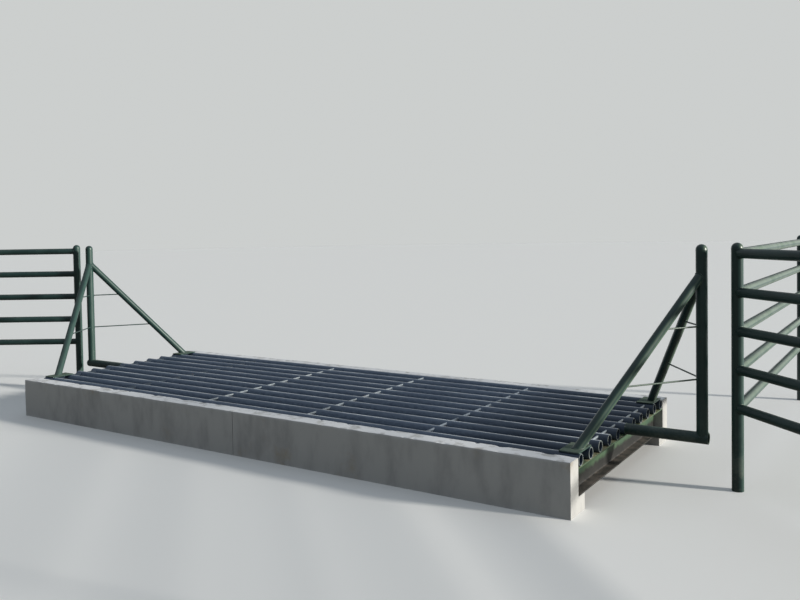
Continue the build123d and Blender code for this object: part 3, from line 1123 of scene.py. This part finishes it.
class GRID_OT_stage(bpy.types.Operator):
    """Set out the floor, the lamps and the camera"""

    bl_idname = "cattle_grid.stage"
    bl_label = "Stage"

    def execute(self, context):
        stage = context.scene.grid_stage
        colours = context.scene.grid_colours
        self.floor(colours)
        self.world(context.scene, stage, colours)
        self.lamp(context.scene, stage, colours)
        self.camera(context.scene, stage)
        context.scene.view_settings.view_transform = "Standard"
        return {"FINISHED"}

    def floor(self, colours):
        """Plain round floor under the object, darker where it lights the object from below."""
        mesh = bpy.data.meshes.new("floor")
        radius, sides = 90.0, 64
        rim = ring(DECK_MIDDLE * AHEAD, UP, radius, sides)
        mesh.from_pydata(rim.tolist(), [], [list(range(sides))])
        floor = bpy.data.objects.new("floor", mesh)
        bpy.context.scene.collection.objects.link(floor)
        material, tree, skin, place = new_finish("studio_floor")
        shown, _ = backdrop_share(tree, smooth_step(tree, parts_of(tree, place)[1], 2.0, 5.0))
        tree.links.new(blend(tree, shown, colours.floor_bounce, colours.floor), skin["Base Color"])
        skin["Roughness"].default_value = 0.9
        mesh.materials.append(material)

    def world(self, scene, stage, colours):
        """Soft light from above, with a plain backdrop where it is seen or mirrored beyond the object."""
        world = bpy.data.worlds.new("studio")
        world.use_nodes = True
        tree = world.node_tree
        tree.nodes.clear()
        heading = put(tree, "ShaderNodeTexCoord").outputs["Generated"]
        _, ahead, upward = parts_of(tree, heading)
        overhead = smooth_step(tree, upward, -0.1, 0.9)
        level = between(tree, overhead, stage.sky_strength * 0.35, stage.sky_strength * 1.5)
        beyond = smooth_step(tree, ahead, 0.0, 0.7)
        beyond = sums(tree, "MULTIPLY", beyond, smooth_step(tree, upward, 0.50, 0.15))
        shown, mirrored = backdrop_share(tree, beyond)
        strength = between(tree, mirrored, 1.0, 1.4)
        light = put(tree, "ShaderNodeBackground", {"Color": opaque(colours.sky), "Strength": level})
        seen = put(tree, "ShaderNodeBackground", {"Color": opaque(colours.backdrop), "Strength": strength})
        mix = put(tree, "ShaderNodeMixShader", {0: shown, 1: light.outputs[0], 2: seen.outputs[0]})
        put(tree, "ShaderNodeOutputWorld", {0: mix.outputs[0]})
        scene.world = world

    def lamp(self, scene, stage, colours):
        """Low soft lamp on the +X side, as in the photo."""
        light = bpy.data.lights.new("low_lamp", "SUN")
        light.energy = stage.sun_strength
        light.angle = stage.sun_width
        light.color = colours.lamp
        lamp = bpy.data.objects.new("low_lamp", light)
        scene.collection.objects.link(lamp)
        turn, height = stage.sun_turn, stage.sun_height
        level = math.cos(height)
        toward = Vector((math.cos(turn) * level, math.sin(turn) * level, math.sin(height)))
        lamp.rotation_euler = toward.to_track_quat("Z", "Y").to_euler()

    def camera(self, scene, stage):
        """Camera at the photo's place, heading, tilt and lean."""
        data = bpy.data.cameras.new("camera")
        data.sensor_width = 36.0
        data.lens = stage.lens
        data.shift_y = stage.shift
        camera = bpy.data.objects.new("camera", data)
        scene.collection.objects.link(camera)
        turn, tilt, roll = stage.heading, stage.tilt, stage.roll
        right = np.array([math.cos(turn), -math.sin(turn), 0.0])
        level_ahead = np.array([math.sin(turn), math.cos(turn), 0.0])
        forward = level_ahead * math.cos(tilt) - UP * math.sin(tilt)
        upward = np.cross(right, forward)
        image_right = math.cos(roll) * right + math.sin(roll) * upward
        image_up = math.cos(roll) * upward - math.sin(roll) * right
        leaning = np.stack([image_right, image_up, -forward], 1)
        camera.matrix_world = Matrix.Translation(stage.camera_place) @ Matrix(leaning.tolist()).to_4x4()
        scene.camera = camera


OPERATORS = (
    GRID_OT_finishes,
    GRID_OT_deck_pipes,
    GRID_OT_cross_beams,
    GRID_OT_spacers,
    GRID_OT_seat_welds,
    GRID_OT_sills,
    GRID_OT_wings,
    GRID_OT_fences,
    GRID_OT_stage,
)


class GRID_PT_panel(bpy.types.Panel):
    """Sidebar panel with the grid's steps and settings"""

    bl_idname = "GRID_PT_panel"
    bl_label = "Cattle Grid"
    bl_space_type = "VIEW_3D"
    bl_region_type = "UI"
    bl_category = "Cattle Grid"

    def draw(self, context):
        layout = self.layout
        for operator in OPERATORS:
            layout.operator(operator.bl_idname)
        for group, kind in SETTINGS.items():
            box = layout.box()
            for name in kind.__annotations__:
                box.prop(getattr(context.scene, group), name)


SETTINGS = {"grid_sizes": GridSizes, "grid_colours": GridColours, "grid_stage": GridStage}
CLASSES = (*SETTINGS.values(), *OPERATORS, GRID_PT_panel)


def register():
    """Registers the classes and hangs the settings on the scene."""
    for kind in CLASSES:
        bpy.utils.register_class(kind)
    for name, kind in SETTINGS.items():
        setattr(bpy.types.Scene, name, PointerProperty(type=kind))


def unregister():
    """Takes the settings and the classes away again."""
    for name in reversed(SETTINGS):
        delattr(bpy.types.Scene, name)
    for kind in reversed(CLASSES):
        bpy.utils.unregister_class(kind)


def main():
    """Registers the classes and runs every step in order."""
    register()
    bpy.ops.cattle_grid.finishes()
    bpy.ops.cattle_grid.deck_pipes()
    bpy.ops.cattle_grid.cross_beams()
    bpy.ops.cattle_grid.spacers()
    bpy.ops.cattle_grid.seat_welds()
    bpy.ops.cattle_grid.sills()
    bpy.ops.cattle_grid.wings()
    bpy.ops.cattle_grid.fences()
    bpy.ops.cattle_grid.stage()


if __name__ == "__main__":
    main()
